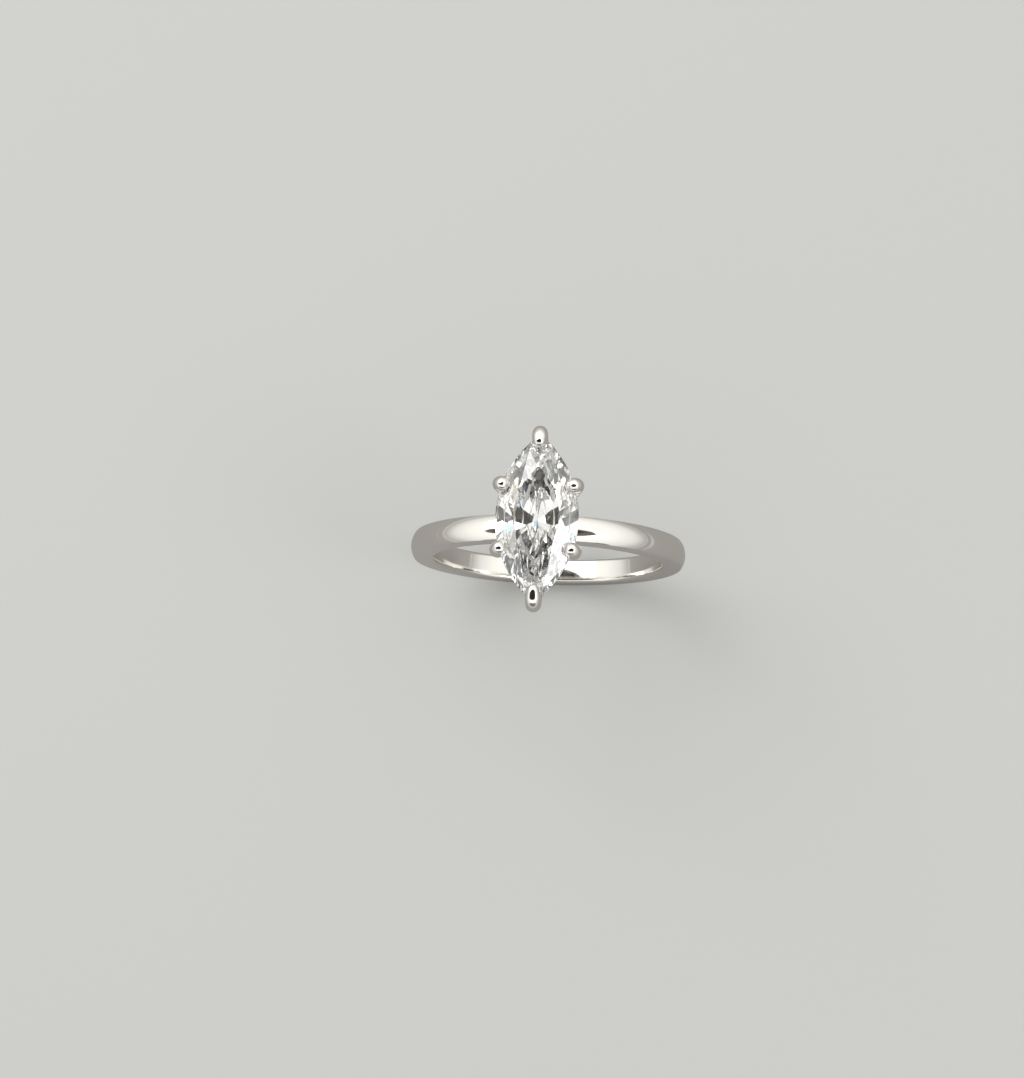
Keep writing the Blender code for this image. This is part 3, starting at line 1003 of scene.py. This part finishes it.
# %% Cards round the lens
PHONE = (0.03, 0.028, 0.026)
HANDS = (0.20, 0.17, 0.155)
BODY = (0.25, 0.235, 0.23)
ROUND_CARD_SIDES = 24


def card(name, sides, size, place, material):
    """A card of some sides and half sizes that faces the stone. Only the metal and the stone show it."""
    bm = bmesh.new()
    bmesh.ops.create_circle(bm, cap_ends=True, radius=1, segments=sides)
    bmesh.ops.scale(bm, vec=(*size, 1), verts=bm.verts)
    facing = looking_along((place - stone_middle).normalized())
    bmesh.ops.transform(bm, matrix=Matrix.Translation(place) @ facing, verts=bm.verts)
    made = stage_sheet(name, bm, material)
    only_reflected(made)
    return made


# The cards paint dark reflections: they are hidden from the camera and cast no shadow.
for name, sides, size, place, color in (
    ("phone", 8, (92, 46), eye + sight * 4 + Vector((-15, 10, 0)), PHONE),
    ("hands", ROUND_CARD_SIDES, (136, 54), eye + sight * 12 + Vector((-15, 0, 0)), HANDS),
    ("sitter", ROUND_CARD_SIDES, (230, 70), Vector((0, -260, 90)), BODY),
):
    card(f"{name}_card", sides, size, place, plain_material(name, color))
    print(f"{name}: {2 * size[0]} x {2 * size[1]} mm, {(place - stone_middle).length:.0f} mm away")

# %% [markdown]
# ## Fire
#
# A real diamond splits white light into colours, which its owner sees as fire. A render with one
# refractive index can't split light, so three small coloured glows stand in for it. Only the stone
# shows them.

# %% Fire for the stone
FIRE_DISTANCE = 200.0
FIRE_SIDES = 12
BLUE_FIRE = (0.62, 1.0, 1.25)
YELLOW_FIRE = (1.2, 1.0, 0.42)

# Each glow is a card and no lamp: a painted coloured flash that only the stone shows.
for name, radius, direction, fire in (
    ("right_fire", 30, (0.35, 0.75, 0.56), BLUE_FIRE),
    ("middle_fire", 28, (0.02, 0.5, 0.87), BLUE_FIRE),
    ("left_fire", 20, (-0.35, 0.45, 0.82), YELLOW_FIRE),
):
    place = stone_middle + Vector(direction) * FIRE_DISTANCE
    glowing = plain_material(name, (0, 0, 0), glow=fire)
    glow = card(name, FIRE_SIDES, (radius, radius), place, glowing)
    glow.visible_glossy = False
    print(f"{name}: {2 * radius} mm wide")

# %% [markdown]
# ## Light
#
# A pale room lights the ring from all sides: its walls are a little darker low down, which shades the
# band's ends. The camera sees the room as plain pale paper. Two soft boxes add a soft shadow. Light
# needs many turns to find its way out of a diamond, so the limit on bounces is raised. With the usual
# limit, the stone comes out black and grey.

# %% Light the room
ROOM_STOPS = ((0.0, 0.4), (0.06, 0.5), (0.2, 0.72), (0.45, 0.9), (0.75, 1.0), (1.0, 1.0))
ROOM_WARMTH = 0.97
ROOM_STRENGTH = 1.25
BACKDROP = (0.53, 0.53, 0.515, 1)
LIGHT_TURNS = 32


def pale_room():
    world = bpy.data.worlds.new("studio")
    world.use_nodes = True
    nodes, links = world.node_tree.nodes, world.node_tree.links
    split = nodes.new("ShaderNodeSeparateXYZ")
    links.new(nodes.new("ShaderNodeTexCoord").outputs["Generated"], split.inputs["Vector"])
    ramp = nodes.new("ShaderNodeValToRGB")
    elements = ramp.color_ramp.elements
    elements[0].position, elements[1].position = ROOM_STOPS[0][0], ROOM_STOPS[-1][0]
    for height, _ in ROOM_STOPS[1:-1]:
        elements.new(height)
    for element, (_, grey) in zip(elements, ROOM_STOPS):
        element.color = (grey, grey, ROOM_WARMTH * grey, 1)
    links.new(split.outputs["Z"], ramp.inputs["Fac"])
    room, backdrop = nodes["Background"], nodes.new("ShaderNodeBackground")
    links.new(ramp.outputs["Color"], room.inputs["Color"])
    room.inputs["Strength"].default_value = ROOM_STRENGTH
    backdrop.inputs["Color"].default_value = BACKDROP
    either = nodes.new("ShaderNodeMixShader")
    links.new(nodes.new("ShaderNodeLightPath").outputs["Is Camera Ray"], either.inputs["Fac"])
    links.new(room.outputs["Background"], either.inputs[1])
    links.new(backdrop.outputs["Background"], either.inputs[2])
    links.new(either.outputs["Shader"], nodes["World Output"].inputs["Surface"])
    return world


def softbox(name, size, place, power):
    data = bpy.data.lights.new(name, "AREA")
    data.shape = "SQUARE"
    data.size = size * MM
    data.energy = power
    lamp = link(name, data)
    place = Vector(place)
    lamp.matrix_world = Matrix.Translation(place * MM) @ looking_along((place - stone_middle).normalized())
    print(f"{name}: {size} mm square, {power} W")


scene = bpy.context.scene
scene.world = pale_room()
softbox("key_light", 260, (-170, 140, 300), power=0.55)
softbox("fill_light", 120, (200, -60, 220), power=0.12)
scene.view_settings.view_transform = "Standard"
scene.cycles.max_bounces = LIGHT_TURNS
scene.cycles.glossy_bounces = LIGHT_TURNS
scene.cycles.transmission_bounces = LIGHT_TURNS

# %% [markdown]
# ## Sizes
#
# A finish goes round the solids and doesn't make the ring bigger.

# %% Sizes
print("ring finished")
